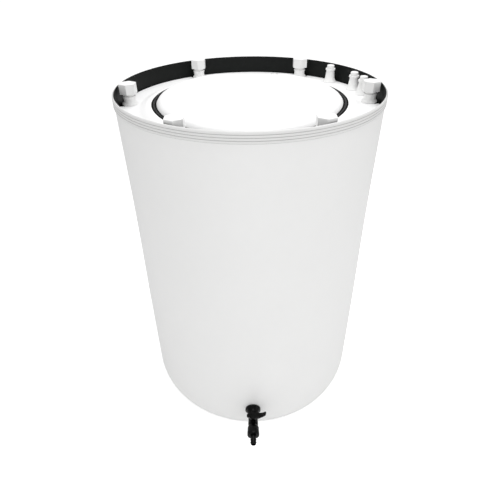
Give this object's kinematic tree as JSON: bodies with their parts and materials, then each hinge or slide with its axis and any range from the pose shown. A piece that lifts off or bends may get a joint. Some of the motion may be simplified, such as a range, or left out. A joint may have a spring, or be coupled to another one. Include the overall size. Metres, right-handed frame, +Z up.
{
  "type": "flexible liquid tank",
  "caption": "Collapsible round sheet tank on poles, with a zipped lid, stoppered spouts and a bottom in-line tap.",
  "frame": {"origin": "centre of the base panel's underside, on the floor", "axes": "+Z up along the tank's axis, -Y towards the tap (front), +X to the right seen from the front"},
  "size_m": [0.6012, 0.7016, 0.9104],
  "materials": {
    "white_sheet": "laminated PVC sheet, white outside and black inside, satin",
    "white_plastic": "moulded white plastic, semi-gloss",
    "black_plastic": "moulded black plastic, glossy",
    "black_tape": "woven zip tape and nylon coil",
    "black_rubber": "moulded rubber",
    "dark_metal": "enamelled zip slider"
  },
  "bodies": {
    "tank": {"tank_wall": "white_sheet", "tank_corner": "white_sheet", "base_panel": "white_sheet", "rim_band": "white_sheet", "lid_panel": "white_sheet", "zip_tape_outer": "black_tape", "zip_chain_outer": "black_tape", "pole_1": "white_plastic", "pole_2": "white_plastic", "pole_3": "white_plastic", "pole_4": "white_plastic", "pole_5": "white_plastic", "pole_6": "white_plastic", "pole_foot_1": "black_rubber", "pole_foot_2": "black_rubber", "pole_foot_3": "black_rubber", "pole_foot_4": "black_rubber", "pole_foot_5": "black_rubber", "pole_foot_6": "black_rubber", "pole_collar_1": "white_plastic", "pole_collar_2": "white_plastic", "pole_collar_3": "white_plastic", "pole_collar_4": "white_plastic", "pole_collar_5": "white_plastic", "pole_collar_6": "white_plastic", "port_spout_1": "white_plastic", "port_spout_2": "white_plastic", "port_spout_3": "white_plastic", "tap_outer_washer": "black_rubber", "tap_inner_washer": "black_rubber", "tap_lock_nut": "black_plastic", "tap_body": "black_plastic", "tap_seat_inner": "white_plastic", "tap_seat_outer": "white_plastic", "tap_neck": "black_plastic", "tap_strainer": "black_plastic", "hose_washer": "black_rubber", "hose_tail": "black_plastic"},
    "flap": {"lid_flap": "white_sheet", "zip_tape_inner": "black_tape", "zip_chain_inner": "black_tape"},
    "slider": {"zip_slider": "dark_metal"},
    "pull": {"zip_pull": "dark_metal"},
    "lever": {"tap_lever": "black_plastic", "tap_stem": "black_plastic", "tap_ball": "white_plastic"},
    "nut": {"coupling_nut": "black_plastic"},
    "plug_1": {"port_plug_1": "white_plastic"},
    "plug_2": {"port_plug_2": "white_plastic"},
    "plug_3": {"port_plug_3": "white_plastic"},
    "cap_1": {"hex_cap_1": "white_plastic"},
    "cap_2": {"hex_cap_2": "white_plastic"},
    "cap_3": {"hex_cap_3": "white_plastic"},
    "cap_4": {"hex_cap_4": "white_plastic"},
    "cap_5": {"hex_cap_5": "white_plastic"},
    "cap_6": {"hex_cap_6": "white_plastic"}
  },
  "joints": [
    {"name": "flap_fold", "type": "hinge", "parent": "tank", "child": "flap", "pos_m": [0, 0.18706, 0.874], "axis": [-1, 0, 0], "range_deg": [0, 105]},
    {"name": "slider_run", "type": "hinge", "parent": "tank", "child": "slider", "pos_m": [0, 0, 0.874], "axis": [0, 0, -1], "range_deg": [0, 320]},
    {"name": "pull_flip", "type": "hinge", "parent": "slider", "child": "pull", "pos_m": [0.07388, 0.20297, 0.87705], "axis": [0.342, 0.9397, 0], "range_deg": [0, 170]},
    {"name": "lever_turn", "type": "hinge", "parent": "tank", "child": "lever", "pos_m": [0, -0.3345, 0.131], "axis": [0, 0, -1], "range_deg": [0, 90]},
    {"name": "nut_spin", "type": "hinge", "parent": "tank", "child": "nut", "pos_m": [0, -0.3635, 0.131], "axis": [0, -1, 0], "continuous": true},
    {"name": "plug_1_lift", "type": "slide", "parent": "tank", "child": "plug_1", "axis": [0, 0, 1], "range_m": [0, 0.016]},
    {"name": "plug_2_lift", "type": "slide", "parent": "tank", "child": "plug_2", "axis": [0, 0, 1], "range_m": [0, 0.016]},
    {"name": "plug_3_lift", "type": "slide", "parent": "tank", "child": "plug_3", "axis": [0, 0, 1], "range_m": [0, 0.016]},
    {"name": "cap_1_lift", "type": "slide", "parent": "tank", "child": "cap_1", "axis": [0, 0, 1], "range_m": [0, 0.02]},
    {"name": "cap_2_lift", "type": "slide", "parent": "tank", "child": "cap_2", "axis": [0, 0, 1], "range_m": [0, 0.02]},
    {"name": "cap_3_lift", "type": "slide", "parent": "tank", "child": "cap_3", "axis": [0, 0, 1], "range_m": [0, 0.02]},
    {"name": "cap_4_lift", "type": "slide", "parent": "tank", "child": "cap_4", "axis": [0, 0, 1], "range_m": [0, 0.02]},
    {"name": "cap_5_lift", "type": "slide", "parent": "tank", "child": "cap_5", "axis": [0, 0, 1], "range_m": [0, 0.02]},
    {"name": "cap_6_lift", "type": "slide", "parent": "tank", "child": "cap_6", "axis": [0, 0, 1], "range_m": [0, 0.02]}
  ]
}
